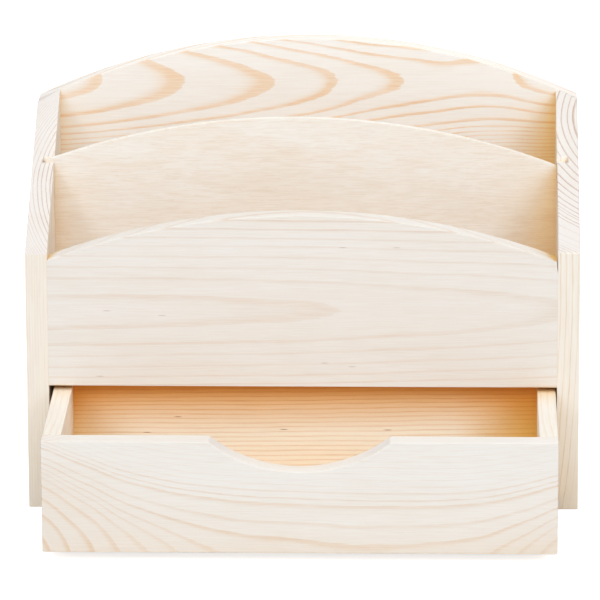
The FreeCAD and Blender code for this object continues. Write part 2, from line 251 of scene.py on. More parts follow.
WOOD_IOR = 1.5
PINE_ROUGHNESS = (0.62, 0.52)     # of spring wood, and of the harder summer wood
PINE_RELIEF = {"Strength": 0.12, "Distance": 0.3 * MM}
LINE_RELIEF = 0.6                 # how high the lines stand, against the fibres


class Cut(NamedTuple):
    """How a board was sawn from its log, in millimetres in the frame of the part."""
    tone: str        # which of the pine colours it has
    seed: float      # makes its figure its own
    axes: str        # the axes along, into and across the grain
    pith: tuple      # (along, into, across) of points on the line of the pith
    rings: tuple     # radii of the dark ring lines, from the pith outwards
    beyond: float    # ring width outside the last of them
    boldness: tuple  # (radius, strength) of the lines
    late: float      # share of a ring that is summer wood
    wander: float    # how far the rings wander from true circles
    heart_and_shade: tuple = (1.0, 0.0, 0.0)  # radii where the heart tint starts and is full, and its strength; on the drawer back it also paints the shade under the front board
    flecks: tuple = ()   # (along, across) of dark resin flecks on the face
    fleck: float = 0.9   # how dark the flecks are
    painted_recess_shade: float = 1.0    # how strongly painted shade darkens the board's recesses and turns them orange


def pith_line(tree, along, cut, which):
    """Where the pith stands, into (1) or across (2) the grain, at each place along the board."""
    start, end = cut.pith[0][0], cut.pith[-1][0]
    values = [spot[which] for spot in cut.pith]
    # a pith that runs straight still needs a little room between low and high
    low, high = min(values), max(values) + 0.001
    curve = [((spot[0] - start) / (end - start), (spot[which] - low) / (high - low)) for spot in cut.pith]
    station = add(tree, "MapRange", along, start, end, 0.0, 1.0)
    share = add(tree, "FloatCurve", 1.0, station, curve=curve)
    return add(tree, "MapRange", share, 0.0, 1.0, low, high)


def bend(tree, grain, size, far, seed):
    """A shift of up to far millimetres into and across the grain, in bends of the given size."""
    either_way = mottle(tree, grain, size, seed).outputs["Color"]
    return add(tree, "VectorMath", either_way, (0.0, 2 * far, 2 * far), (0.0, -far, -far),
               operation="MULTIPLY_ADD")


def pith_distance(tree, grain, cut):
    """Distance from the pith in millimetres, bent slowly and a little raggedly."""
    slow = bend(tree, grain, SLOW_BENDS, cut.wander, cut.seed)
    ragged = bend(tree, grain, RAGGED_BENDS, RAGGED, cut.seed + RAGGED_SHIFT)
    shift = add(tree, "VectorMath", slow, ragged, operation="ADD")
    bent = add(tree, "VectorMath", grain, shift, operation="ADD")
    bent = add(tree, "VectorMath", bent, (0.0, 1.0, 1.0), operation="MULTIPLY")
    along = add(tree, "SeparateXYZ", grain).outputs["X"]
    pith = add(tree, "CombineXYZ", 0.0, pith_line(tree, along, cut, 1), pith_line(tree, along, cut, 2))
    return add(tree, "VectorMath", bent, pith, operation="DISTANCE")


def ring_lines(tree, radius, cut):
    """How dark the summer wood is at each distance from the pith, and how bold its ring is."""
    reach = add(tree, "Math", radius, 1 / RING_REACH, operation="MULTIPLY")
    count = len(cut.rings) + (RING_REACH - cut.rings[-1]) / cut.beyond
    rings = [(r / RING_REACH, number / count) for number, r in enumerate(cut.rings, start=1)]
    number = add(tree, "FloatCurve", 1.0, reach, curve=[(0.0, 0.0), *rings, (1.0, 1.0)], straight=True)
    number = add(tree, "Math", number, count, operation="MULTIPLY")
    within = add(tree, "Math", number, operation="FRACT")
    profile = [(1 - cut.late * inwards, dark) for inwards, dark in LINE_PROFILE]
    line = add(tree, "FloatCurve", 1.0, within, curve=[(0.0, 0.0), *profile, (1.0, 0.0)])
    bold = [(r / RING_REACH, strength) for r, strength in cut.boldness]
    first, last = (0.0, bold[0][1]), (1.0, bold[-1][1])
    return line, add(tree, "FloatCurve", 1.0, reach, curve=[first, *bold, last])


def flecked(tree, grain, shade, cut):
    """Add the resin ducts that were cut open: short dark dashes along the grain."""
    for along, across in cut.flecks:
        away = add(tree, "VectorMath", grain, (along, 0.0, across), operation="SUBTRACT")
        dash = add(tree, "VectorMath", away, FLECK_SHAPE, operation="MULTIPLY")
        near = add(tree, "VectorMath", dash, operation="LENGTH")
        mark = add(tree, "MapRange", near, *FLECK_FADE, cut.fleck, 0.0)
        shade = add(tree, "Mix", mark, shade, FLECK_SHADE, data_type="RGBA", blend_type="MULTIPLY")
    return shade


def painted_recess_shade(tree, shade, strength):
    """Paint shade into the colour where other wood stands close: a recess is darkened and turned orange, most
    where light from the upper right is blocked.
    """
    look = bpy.context.scene.sorter_pine
    lean = add(tree, "VectorMath", add(tree, "NewGeometry").outputs["Normal"], RECESS_LEAN, operation="ADD")
    near = add(tree, "AmbientOcclusion", WHITE, RECESS_REACH, lean, samples=8).outputs["AO"]
    closed = add(tree, "MapRange", near, *RECESS_OPEN, 0.0, 1.0)
    closed = add(tree, "Math", closed, RECESS_DEEPENS, operation="POWER")
    closed = add(tree, "Math", closed, strength, operation="MULTIPLY")
    return add(tree, "Mix", closed, shade, tuple(look.recess_shade_tint), data_type="RGBA", blend_type="MULTIPLY")


def pine(name, cut):
    """Planed, unfinished pine. Growth rings run through the whole board, so a face shows arches,
    an edge shows stripes and an end shows arcs; summer wood is orange and ends sharply outwards."""
    look = bpy.context.scene.sorter_pine
    spring, summer = tuple(getattr(look, cut.tone)), tuple(getattr(look, cut.tone + "_line"))
    material, tree, in_mm = new_material(name)
    grain = along_grain(tree, in_mm, cut.axes)
    radius = pith_distance(tree, grain, cut)
    line, boldness = ring_lines(tree, radius, cut)
    patches = marks(tree, grain, PATCHES, cut.seed)
    fibre = marks(tree, grain, FIBRES, cut.seed)
    streaks = add(tree, "MapRange", fibre, 0.0, 1.0, *STREAKS)
    dark = add(tree, "Math", line, boldness, operation="MULTIPLY")
    uneven = add(tree, "Math", patches, streaks, operation="MULTIPLY")
    dark = add(tree, "Math", dark, uneven, operation="MULTIPLY")

    # on a sawn end the lines are darker, because the open ends of the fibres drink up light
    facing = add(tree, "SeparateXYZ", add(tree, "TexCoord").outputs["Normal"]).outputs[cut.axes[0]]
    facing = add(tree, "Math", facing, operation="ABSOLUTE")
    end = add(tree, "MapRange", facing, *END_TURN, 0.0, 1.0)
    darker = add(tree, "MapRange", end, 0.0, 1.0, 1.0, END_DARKER)
    dark = add(tree, "Math", dark, darker, operation="MULTIPLY", use_clamp=True)

    stripe = add(tree, "Mix", end, summer, END_LINE, data_type="RGBA")
    shade = add(tree, "Mix", dark, spring, stripe, data_type="RGBA")
    shade = add(tree, "Mix", end, shade, END_SHADE, data_type="RGBA", blend_type="MULTIPLY")
    thin = add(tree, "Math", fibre, FIBRE_TINT, operation="MULTIPLY")
    shade = add(tree, "Mix", thin, shade, FIBRE_SHADE, data_type="RGBA", blend_type="MULTIPLY")
    cloud = marks(tree, grain, CLOUDS, cut.seed)
    shade = add(tree, "Mix", cloud, shade, CLOUD_SHADE, data_type="RGBA", blend_type="MULTIPLY")
    # heart tint: warmer wood near the pith, and on the drawer back also painted shade, darker and orange
    # towards the top under the front board
    heart_from, heart_full, heart_share = cut.heart_and_shade
    if heart_share:
        heart_and_shade_mask = add(tree, "MapRange", radius, heart_from, heart_full, 0.0, heart_share)
        shade = add(tree, "Mix", heart_and_shade_mask, shade, tuple(look.heart_and_shade), data_type="RGBA", blend_type="MULTIPLY")
    shade = flecked(tree, grain, shade, cut)
    # painted shade: recesses darkened and turned orange where other wood blocks the light
    shade = painted_recess_shade(tree, shade, cut.painted_recess_shade)

    relief = add(tree, "Math", line, LINE_RELIEF, fibre, operation="MULTIPLY_ADD")
    bump = add(tree, "Bump", named={**PINE_RELIEF, "Height": relief})
    rough = add(tree, "MapRange", dark, 0.0, 1.0, *PINE_ROUGHNESS)
    shader = add(tree, "BsdfPrincipled", named={"Base Color": shade, "Roughness": rough, "IOR": WOOD_IOR,
                                                "Normal": bump})
    add(tree, "OutputMaterial", shader)
    return material


# Birch plywood, sanded, three plies thick

VENEER_FIBRES = Marks((9.0, 30.0, 0.5), (0.4, 0.72), (0.0, 0.34), detail=3.0)
VESSELS = Marks((5.0, 30.0, 0.4), (0.62, 0.78), (0.0, 0.35), shift=7.0, detail=1.0)
RIPPLES = Marks((34.0, 60.0, 9.0), (0.46, 0.7), (0.0, 0.14), shift=13.0)
VENEER_CLOUDS = Marks((60.0, 60.0, 30.0), (0.35, 0.7), (0.0, 0.15), shift=19.0)
CORE_PORES = Marks((0.5, 0.5, 6.0), (0.4, 0.7), (0.0, 0.4), shift=29.0, detail=3.0)
RIPPLE_SHADE = linear("#F0D6B4")
VENEER_CLOUD_SHADE = linear("#F3DDC0")
CORE_AT = (0.29, 0.3)             # shares of the thickness where the face veneer ends and the core begins
GLUE_AT = (0.27, 0.295, 0.32)     # the same for the start, the middle and the end of a glue line
GLUE_SHARE = 0.6                  # how much the glue colours its line
PLYWOOD_RECESS_SHADE = 0.68               # how strongly painted shade darkens a sheet's recesses and turns them orange
PLYWOOD_ROUGHNESS = 0.58
PLYWOOD_RELIEF = {"Strength": 0.1, "Distance": 0.2 * MM}


class Sheet(NamedTuple):
    """A plywood sheet: the node it stands for, its piece, its axes and its seed."""
    node: str
    piece: str
    axes: str    # the axes along, into and across the face grain
    seed: float  # makes its figure its own


DIVIDER = Sheet("middle_divider", "divider_sheet", "XYZ", 51.0)
LETTER_SHELF = Sheet("letter_shelf", "letter_shelf_sheet", "XZY", 53.0)
CASE_FLOOR = Sheet("case_floor", "case_floor_sheet", "XZY", 57.0)
DRAWER_BOTTOM = Sheet("drawer_bottom", "drawer_bottom_sheet", "XZY", 59.0)


def mirrored(steps, heights):
    """A curve over the thickness of a sheet that is the same from both of its faces."""
    near = list(zip(steps, heights))
    far = [(1 - step, height) for step, height in reversed(near)]
    return [(0.0, 0.0), *near, *far, (1.0, 0.0)]


def plywood(sheet):
    """Sanded birch plywood. The face veneer is peeled round the log, so its figure is a wide faint
    ripple with fine open vessels; the edges show two pale veneers, two glue lines and a darker core."""
    look = bpy.context.scene.sorter_plywood
    material, tree, in_mm = new_material("birch plywood, " + sheet.piece.replace("_", " "))
    grain = along_grain(tree, in_mm, sheet.axes)
    fibre = marks(tree, grain, VENEER_FIBRES, sheet.seed)
    vessel = marks(tree, grain, VESSELS, sheet.seed)
    ripple = marks(tree, grain, RIPPLES, sheet.seed)
    cloud = marks(tree, grain, VENEER_CLOUDS, sheet.seed)
    shade = add(tree, "Mix", fibre, tuple(look.veneer), tuple(look.vessel), data_type="RGBA")
    shade = add(tree, "Mix", vessel, shade, tuple(look.vessel), data_type="RGBA")
    shade = add(tree, "Mix", ripple, shade, RIPPLE_SHADE, data_type="RGBA", blend_type="MULTIPLY")
    shade = add(tree, "Mix", cloud, shade, VENEER_CLOUD_SHADE, data_type="RGBA", blend_type="MULTIPLY")

    # the plies, from one face to the other
    thick = "XYZ".index(sheet.axes[1])
    low, high = (corner[thick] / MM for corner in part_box(sheet.node))
    into = add(tree, "SeparateXYZ", grain).outputs["Y"]
    depth = add(tree, "MapRange", into, low, high, 0.0, 1.0)
    core = add(tree, "FloatCurve", 1.0, depth, straight=True, curve=mirrored(CORE_AT, (0.0, 1.0)))
    glue = add(tree, "FloatCurve", 1.0, depth, straight=True, curve=mirrored(GLUE_AT, (0.0, GLUE_SHARE, 0.0)))
    pores = marks(tree, grain, CORE_PORES, sheet.seed)
    middle = add(tree, "Mix", pores, tuple(look.core), tuple(look.glue), data_type="RGBA")
    shade = add(tree, "Mix", core, shade, middle, data_type="RGBA")
    shade = add(tree, "Mix", glue, shade, tuple(look.glue), data_type="RGBA")
    # painted shade: recesses darkened and turned orange where other wood blocks the light
    shade = painted_recess_shade(tree, shade, PLYWOOD_RECESS_SHADE)
    bump = add(tree, "Bump", named={**PLYWOOD_RELIEF, "Height": fibre})
    shader = add(tree, "BsdfPrincipled", named={"Base Color": shade, "Roughness": PLYWOOD_ROUGHNESS,
                                                "IOR": WOOD_IOR, "Normal": bump})
    add(tree, "OutputMaterial", shader)
    return material


# Drawn steel and turned beech

DULL_PATCHES = Marks((0.5, 0.5, 0.5), (0.35, 0.7), (0.0, 0.4), shift=3.0, detail=3.0)
STEEL_ROUGHNESS = DULL_PATCHES._replace(fades=(0.3, 0.7), gives=(0.3, 0.5))
DULL_STEEL = linear("#8F8C86")
BEECH_RAYS = Marks((0.5, 3.0, 0.5), (0.55, 0.72), (0.0, 0.5), shift=8.0)
BEECH_FIBRES = Marks((0.4, 14.0, 0.4), (0.35, 0.7), (0.0, 0.3), shift=9.0, detail=3.0)
BEECH_FIBRE_SHADE = linear("#C08C5A")
BEECH_RAY_SHADE = linear("#9C6A40")
BEECH_ROUGHNESS = 0.6


def bright_steel(name):
    """Drawn mild steel, bare and slightly dulled: a grey glint with soft dull patches."""
    look = bpy.context.scene.sorter_fasteners
    material, tree, in_mm = new_material(name)
    dull = marks(tree, in_mm, DULL_PATCHES)
    shade = add(tree, "Mix", dull, tuple(look.steel), DULL_STEEL, data_type="RGBA")
    rough = marks(tree, in_mm, STEEL_ROUGHNESS)
    shader = add(tree, "BsdfPrincipled", named={"Base Color": shade, "Metallic": 1.0, "Roughness": rough})
    add(tree, "OutputMaterial", shader)
    return material


def turned_beech(name):
    """Turned beech: even pinkish-brown wood with short dark ray flecks along the dowel."""
    look = bpy.context.scene.sorter_fasteners
    material, tree, in_mm = new_material(name)
    rays = marks(tree, in_mm, BEECH_RAYS)
    fibre = marks(tree, in_mm, BEECH_FIBRES)
    shade = add(tree, "Mix", fibre, tuple(look.beech), BEECH_FIBRE_SHADE, data_type="RGBA")
    shade = add(tree, "Mix", rays, shade, BEECH_RAY_SHADE, data_type="RGBA")
    shader = add(tree, "BsdfPrincipled", named={"Base Color": shade, "Roughness": BEECH_ROUGHNESS,
                                                "IOR": WOOD_IOR})
    add(tree, "OutputMaterial", shader)
    return material


# How each board was cut ------------------------------------------------------------------------

FRONT_BOARD = Cut(
    tone="front", seed=43.0, axes="XYZ",
    pith=((-138.0, 2.7, 111.3), (-60.0, 3.3, 112.0), (0.0, 4.6, 112.3), (60.0, 6.7, 112.6),
          (100.0, 8.3, 112.8), (138.0, 10.1, 113.0)),
    rings=(5.0, 11.0, 16.5, 22.5, 28.0, 32.5, 37.5, 42.5, 46.5, 51.0, 55.5),
    beyond=4.5,
    boldness=((15.0, 0.35), (23.0, 0.5), (33.0, 0.4), (43.0, 0.45), (49.0, 0.8), (56.0, 1.0)),
    late=0.22, wander=0.7, heart_and_shade=(18.0, 8.0, 0.6),
    flecks=((-76.0, 109.5), (-106.0, 112.0), (22.0, 148.0), (51.0, 148.0), (12.0, 83.0), (27.0, 81.0),
            (-110.0, 75.0)),
    fleck=0.4,
)
BACK_BOARD = Cut(
    tone="back", seed=41.0, axes="XYZ",
    pith=((-138.0, 112.8, 213.3), (-90.0, 122.2, 212.3), (-50.0, 127.6, 211.5), (0.0, 132.8, 210.8),
          (50.0, 137.4, 211.6), (90.0, 138.8, 214.2), (138.0, 134.5, 218.8)),
    rings=(4.0, 11.0, 19.0, 26.9, 32.4, 35.9, 38.9, 41.4, 43.9, 47.4, 49.4),
    beyond=1.5,
    boldness=((10.0, 0.55), (26.0, 0.68), (40.0, 0.72), (49.0, 0.78), (53.0, 0.7), (60.0, 0.65)),
    late=0.28, wander=0.9, painted_recess_shade=0.85,
)
DRAWER_FRONT = Cut(
    tone="drawer", seed=61.0, axes="XYZ",
    pith=((-137.0, -80.7, -1.8), (-110.0, -63.7, -2.0), (-80.0, -53.7, -2.2), (-40.0, -48.9, -2.4),
          (0.0, -47.6, -2.6), (45.0, -47.0, -2.8), (90.0, -47.9, -3.0), (115.0, -50.8, -3.1),
          (138.0, -56.0, -3.1)),
    rings=(9.0, 18.0, 27.0, 35.0, 42.5, 49.0, 54.5, 58.0, 60.5, 62.5, 65.3, 68.2, 72.8, 74.2),
    beyond=2.2,
    boldness=((30.0, 0.85), (50.0, 0.75), (60.0, 0.45), (65.0, 0.7), (69.0, 0.4), (74.0, 0.75),
              (78.0, 0.2), (95.0, 0.14)),
    late=0.26, wander=0.5, heart_and_shade=(80.0, 56.0, 0.1), painted_recess_shade=0.5,
)
SIDE_LEFT = Cut(
    tone="side", seed=31.0, axes="ZYX",
    pith=((0.0, 32.4, -60.3), (100.0, 32.4, -60.4), (210.0, 32.4, -60.3)),
    rings=(20.0, 40.0, 60.0, 70.0, 76.0, 79.1, 81.2, 83.7, 85.8, 88.2, 90.7, 92.5, 94.2, 95.7),
    beyond=1.25,
    boldness=((76.0, 0.7), (86.0, 0.7), (89.0, 0.35), (110.0, 0.35)),
    late=0.22, wander=0.6, painted_recess_shade=0.08,
)
SIDE_RIGHT = Cut(
    tone="side", seed=37.0, axes="ZYX",
    pith=((0.0, 78.7, 187.5), (20.0, 78.7, 190.0), (50.0, 78.8, 192.3), (85.0, 78.8, 194.3),
          (120.0, 78.8, 195.0), (210.0, 78.8, 195.0)),
    rings=(15.0, 30.0, 42.0, 48.2, 51.0, 54.5, 58.4, 61.9, 65.4, 70.0, 73.5, 76.7, 80.2, 83.0, 85.1, 86.5,
           89.0, 90.7, 95.7, 100.3, 103.5, 105.3, 106.7, 108.1, 109.7, 111.2),
    beyond=1.5,
    boldness=((50.0, 0.7), (75.0, 0.7), (91.0, 0.7), (93.0, 0.15), (105.0, 0.15), (106.5, 0.6)),
    late=0.22, wander=0.5, painted_recess_shade=0.25,
)
DRAWER_SIDE_LEFT = Cut(
    tone="side", seed=67.0, axes="YXZ",
    pith=((-98.0, -62.0, 22.0), (-40.0, -60.0, 22.0), (5.0, -61.0, 22.0)),
    rings=(15.0, 30.0, 45.0, 60.0, 70.0),
    beyond=2.7,
    boldness=((60.0, 0.35), (90.0, 0.3)),
    late=0.3, wander=0.8, painted_recess_shade=0.35,
)
DRAWER_SIDE_RIGHT = Cut(
    tone="side", seed=71.0, axes="YXZ",
    pith=((-98.0, 52.0, 10.0), (-40.0, 50.0, 10.0), (5.0, 51.0, 10.0)),
    rings=(15.0, 30.0, 45.0, 60.0, 70.0),
    beyond=3.1,
    boldness=((60.0, 0.35), (90.0, 0.3)),
    late=0.3, wander=0.8, painted_recess_shade=0.7,
)
DRAWER_BACK = Cut(
    tone="inner", seed=73.0, axes="XYZ",
    # its pith lies above the board, so the heart tint there is painted shade under the front board: darker
    # and orange towards the top
    pith=((-126.0, 14.0, 158.0), (0.0, 14.0, 159.4), (128.0, 14.0, 161.5)),
    rings=(20.0, 40.0, 60.0, 75.0, 85.0, 91.5, 94.0, 96.6, 98.6, 101.0, 103.3, 105.3, 108.2, 110.6,
           113.0, 115.6),
    beyond=2.7,
    boldness=((70.0, 0.7), (93.0, 0.6), (99.0, 0.4), (104.0, 0.6), (112.0, 0.45), (145.0, 0.5)),
    late=0.3, wander=0.9, heart_and_shade=(122.0, 94.0, 1.0), painted_recess_shade=1.05,
    flecks=((-68.6, 48.4), (-85.6, 39.4), (-10.7, 41.4), (46.1, 41.4)),
)


# Pieces ----------------------------------------------------------------------------------------

FLAT = math.radians(0.5)     # faces closer to one plane than this are one face
SHARP = math.radians(25.0)   # edges sharper than this are eased
SMOOTH = math.radians(35.0)  # edges flatter than this are shaded smooth
MERGE = 0.002 * MM           # corners closer than this are one corner
PROUD = 0.02 * MM            # a corner that stands less than this over a face doesn't count as proud of it
JOINT_SLACK = 0.6 * MM       # an edge this near another board lies in the joint
NOTCH_ABOVE = 45 * MM        # the hand notch in the drawer front is all above this height
NOTCH_UPWARD = 0.3           # the faces of its floor look upwards more than this


def start_fresh():
    """Leave edit mode and deselect everything, so an operator acts only on what comes next."""
    if bpy.context.object and bpy.context.object.mode != "OBJECT":
        bpy.ops.object.mode_set(mode="OBJECT")
    bpy.ops.object.select_all(action="DESELECT")


def pick(*things):
    """Make these the only objects selected, and the first of them the active one."""
    start_fresh()
    for thing in things:
        thing.select_set(True)
    bpy.context.view_layer.objects.active = things[0]


def apply_all(thing):
    """Apply an object's modifiers in their order."""
    pick(thing)
    for name in [modifier.name for modifier in thing.modifiers]:
        bpy.ops.object.modifier_apply(modifier=name)


def dress(made, material, node, body):
    """Give a piece its material and the body it rides on, and hide the CAD node that it takes the place of.
    """
    made.data.materials.clear()
    made.data.materials.append(material)
    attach(made, body)
    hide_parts(node)


def boards_round(node):
    """The boxes of the other boards, where an edge lies in a joint."""
    return [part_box(other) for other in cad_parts
            if other != node and "brads" not in other and "dowels" not in other]


def in_joint(spot, corners):
    """Whether a point lies in the box of another board, or almost."""
    low, high = corners
    return all(low[axis] - JOINT_SLACK <= spot[axis] <= high[axis] + JOINT_SLACK for axis in range(3))


def outer_face(face, spots):
    """Whether a face is on the outside of a board: no corner of the board stands proud of it."""
    middle, normal = face.calc_center_median(), face.normal
    return all((spot - middle).dot(normal) < PROUD for spot in spots)


def notch_face(face):
    """Whether a face of the drawer front is the floor of its hand notch, or its upper edge."""
    return face.normal.z > NOTCH_UPWARD and face.calc_center_median().z > NOTCH_ABOVE


def ease_edges(made, node):
    """Round the board's outer edges over, and leave those in a joint almost as sawn."""
    look = bpy.context.scene.sorter_edges
    neighbours = boards_round(node)
    mesh = bmesh.new()
    mesh.from_mesh(made.data)
    spots = [corner.co.copy() for corner in mesh.verts]
    outer = {face.index: outer_face(face, spots) or (node == "drawer_front" and notch_face(face))
             for face in mesh.faces}
    layer = mesh.edges.layers.float.new("bevel_weight_edge")
    for edge in mesh.edges:
        outside = len(edge.link_faces) == 2 and all(outer[face.index] for face in edge.link_faces)
        if outside and edge.calc_face_angle(0.0) > SHARP:
            middle = (edge.verts[0].co + edge.verts[1].co) / 2
            joined = any(in_joint(middle, corners) for corners in neighbours)
            edge[layer] = look.sawn / look.eased if joined else 1.0
    mesh.to_mesh(made.data)
    mesh.free()
    bevel = made.modifiers.new("eased edges", "BEVEL")
    bevel.limit_method = "WEIGHT"
    bevel.width = look.eased
    bevel.segments = look.steps


def board(node, body, material, piece):
    """Copy a CAD board, join its loose triangles into whole faces and ease its edges."""
    start_fresh()
    made = bpy.data.objects.new(piece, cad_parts[node].data.copy())
    bpy.context.scene.collection.objects.link(made)
    pick(made)
    bpy.ops.object.mode_set(mode="EDIT")
    bpy.ops.mesh.select_all(action="SELECT")
    bpy.ops.mesh.remove_doubles(threshold=MERGE)
    bpy.ops.mesh.dissolve_limited(angle_limit=FLAT)
    bpy.ops.object.mode_set(mode="OBJECT")
    ease_edges(made, node)
    apply_all(made)
    bpy.ops.object.shade_smooth_by_angle(angle=SMOOTH)
    flat = made.modifiers.new("flat faces", "WEIGHTED_NORMAL")
    flat.keep_sharp = True
    apply_all(made)
    dress(made, material, node, body)


class SORTER_OT_sides(bpy.types.Operator):
    """Make the two side boards"""
    bl_idname = "sorter.sides"
    bl_label = "Side boards"

    def execute(self, context):
        for side, cut in (("left", SIDE_LEFT), ("right", SIDE_RIGHT)):
            wood = pine(f"planed pine, {side} side", cut)
            board(f"side_panel_{side}", "case", wood, f"side_board_{side}")
        return {"FINISHED"}


class SORTER_OT_back(bpy.types.Operator):
    """Make the tall arched back board"""
    bl_idname = "sorter.back"
    bl_label = "Back board"

    def execute(self, context):
        wood = pine("planed pine, back", BACK_BOARD)
        board("back_panel", "case", wood, "back_board")
        return {"FINISHED"}


class SORTER_OT_front(bpy.types.Operator):
    """Make the low arched front board"""
    bl_idname = "sorter.front"
    bl_label = "Front board"

    def execute(self, context):
        wood = pine("planed pine, front", FRONT_BOARD)
        board("front_panel", "case", wood, "front_board")
        return {"FINISHED"}


class SORTER_OT_sheets(bpy.types.Operator):
    """Make the divider, the shelf under the letters and the floor of the case"""
    bl_idname = "sorter.sheets"
    bl_label = "Divider, shelf and floor"

    def execute(self, context):
        for sheet in (DIVIDER, LETTER_SHELF, CASE_FLOOR):
            board(sheet.node, "case", plywood(sheet), sheet.piece)
        return {"FINISHED"}


class SORTER_OT_drawer_front(bpy.types.Operator):
    """Make the drawer front with its hand notch"""
    bl_idname = "sorter.drawer_front"
    bl_label = "Drawer front"

    def execute(self, context):
        wood = pine("planed pine, drawer front", DRAWER_FRONT)
        board("drawer_front", "drawer", wood, "drawer_front_board")
        return {"FINISHED"}


class SORTER_OT_drawer_box(bpy.types.Operator):
    """Make the drawer's sides, its back and its bottom"""
    bl_idname = "sorter.drawer_box"
    bl_label = "Drawer box"

    def execute(self, context):
        for side, cut in (("left", DRAWER_SIDE_LEFT), ("right", DRAWER_SIDE_RIGHT)):
            wood = pine(f"planed pine, drawer {side} side", cut)
            board(f"drawer_side_{side}", "drawer", wood, f"drawer_side_board_{side}")
        wood = pine("planed pine, drawer back", DRAWER_BACK)
        board("drawer_back", "drawer", wood, "drawer_back_board")
        bottom = DRAWER_BOTTOM
        board(bottom.node, "drawer", plywood(bottom), bottom.piece)
        return {"FINISHED"}


# Fasteners -------------------------------------------------------------------------------------

SIDES = (("left", -1), ("right", 1))
AROUND = 24             # sides of a round fastener
CAP = 0.9               # an end face looks along the fastener at least this squarely
BARREL = 0.1            # a face of the round side looks along the fastener less than this
POINT_LENGTH = 2        # length of a brad's point over the radius of its shank
POINT_TIP = 0.25        # width of the point's end over that of the shank
HEAD_ROUND = 0.12 * MM  # how far the rim of a brad's head is rounded
HEAD_SUNK = 0.01 * MM   # how deep the heads in the back board are sunk
DOWEL_CHAMFER = 0.6 * MM
FLUTE_SMOOTH = math.radians(20.0)  # a dowel's edges flatter than this are shaded smooth

BACK_ROW = (0.12, 0.45, 0.77)  # heights of the brads in the back board, as shares of its height
FRONT_ENDS = 140 * MM          # height of the front board's ends
FRONT_MARGIN = 2               # its brads stand this many thicknesses from the edges
DRAWER_ROW = (0.4, 0.8)        # heights of the brads in the drawer back, as shares of the drawer front's


class Brad(NamedTuple):
    """A size of brad: the radius of its shank and its whole length."""
    radius: float
    length: float


LONG_BRAD = Brad(0.8 * MM, 30 * MM)
SHORT_BRAD = Brad(0.6 * MM, 18 * MM)


class Seam(NamedTuple):
    """A row of brads: the middles of their heads and the way they are driven."""
    node: str
    body: str
    heading: tuple
    brad: Brad
    heads: list


def centre_of(node):
    """The middle of a board or a row of dowels."""
    low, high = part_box(node)
    return (low + high) / 2


def outside_of(node, sign):
    """How far a board reaches to the left (-1) or to the right (1)."""
    low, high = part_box(node)
    return high.x if sign > 0 else low.x


def back_seam(side):
    """Brads through the back board into the rear edge of one side board."""
    across = centre_of(f"side_panel_{side}").x
    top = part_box("back_panel")[1]
    heads = [(across, top.y - HEAD_SUNK, share * top.z) for share in BACK_ROW]
    return Seam(f"back_panel_brads_{side}", "case", (0, -1, 0), LONG_BRAD, heads)


def front_seam(side, sign):
    """Brads through one side board into the end of the front board."""
    low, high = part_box("front_panel")
    margin = FRONT_MARGIN * (high.y - low.y)
    outside, depth = outside_of(f"side_panel_{side}", sign), centre_of("front_panel").y
    heads = [(outside, depth, height) for height in (low.z + margin, FRONT_ENDS - margin)]
    return Seam(f"front_panel_brads_{side}", "case", (-sign, 0, 0), LONG_BRAD, heads)


def drawer_seam(side, sign):
    """Brads through one drawer side into the end of the drawer back."""
    low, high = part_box("drawer_front")
    outside, depth = outside_of(f"drawer_side_{side}", sign), centre_of("drawer_back").y
    heads = [(outside, depth, low.z + share * (high.z - low.z)) for share in DRAWER_ROW]
    return Seam(f"drawer_back_brads_{side}", "drawer", (-sign, 0, 0), LONG_BRAD, heads)


def bottom_seam():
    """Short brads through the drawer's bottom into its back, a third of its length apart."""
    low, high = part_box("drawer_back")
    centre, underside = centre_of("drawer_back"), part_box("drawer_bottom")[0].z
    heads = [(centre.x + step * (high.x - low.x) / 3, centre.y, underside) for step in (-1, 0, 1)]
    return Seam("drawer_bottom_brads", "drawer", (0, 0, 1), SHORT_BRAD, heads)


def select_faces(made, choose):
    """In edit mode, select only the faces that choose picks out."""
    bpy.ops.mesh.select_mode(type="FACE")
    bpy.ops.mesh.select_all(action="DESELECT")
    mesh = bmesh.from_edit_mesh(made.data)
    for face in choose(mesh.faces):
        face.select_set(True)
    bmesh.update_edit_mesh(made.data)


def by_height(faces):
    """The two end faces of an upright round piece, the lower one first."""
    ends = [face for face in faces if abs(face.normal.z) > CAP]
    return sorted(ends, key=lambda face: face.calc_center_median().z)


def dowel_ends(faces):
    """The end faces of a dowel that lies along Y."""
    return [face for face in faces if abs(face.normal.y) > CAP]


def every_other_side(faces):
    """Every second face round a dowel that lies along Y."""
    sides = [face for face in faces if abs(face.normal.y) < BARREL]
    sides.sort(key=lambda face: math.atan2(face.normal.z, face.normal.x))
    return sides[::2]


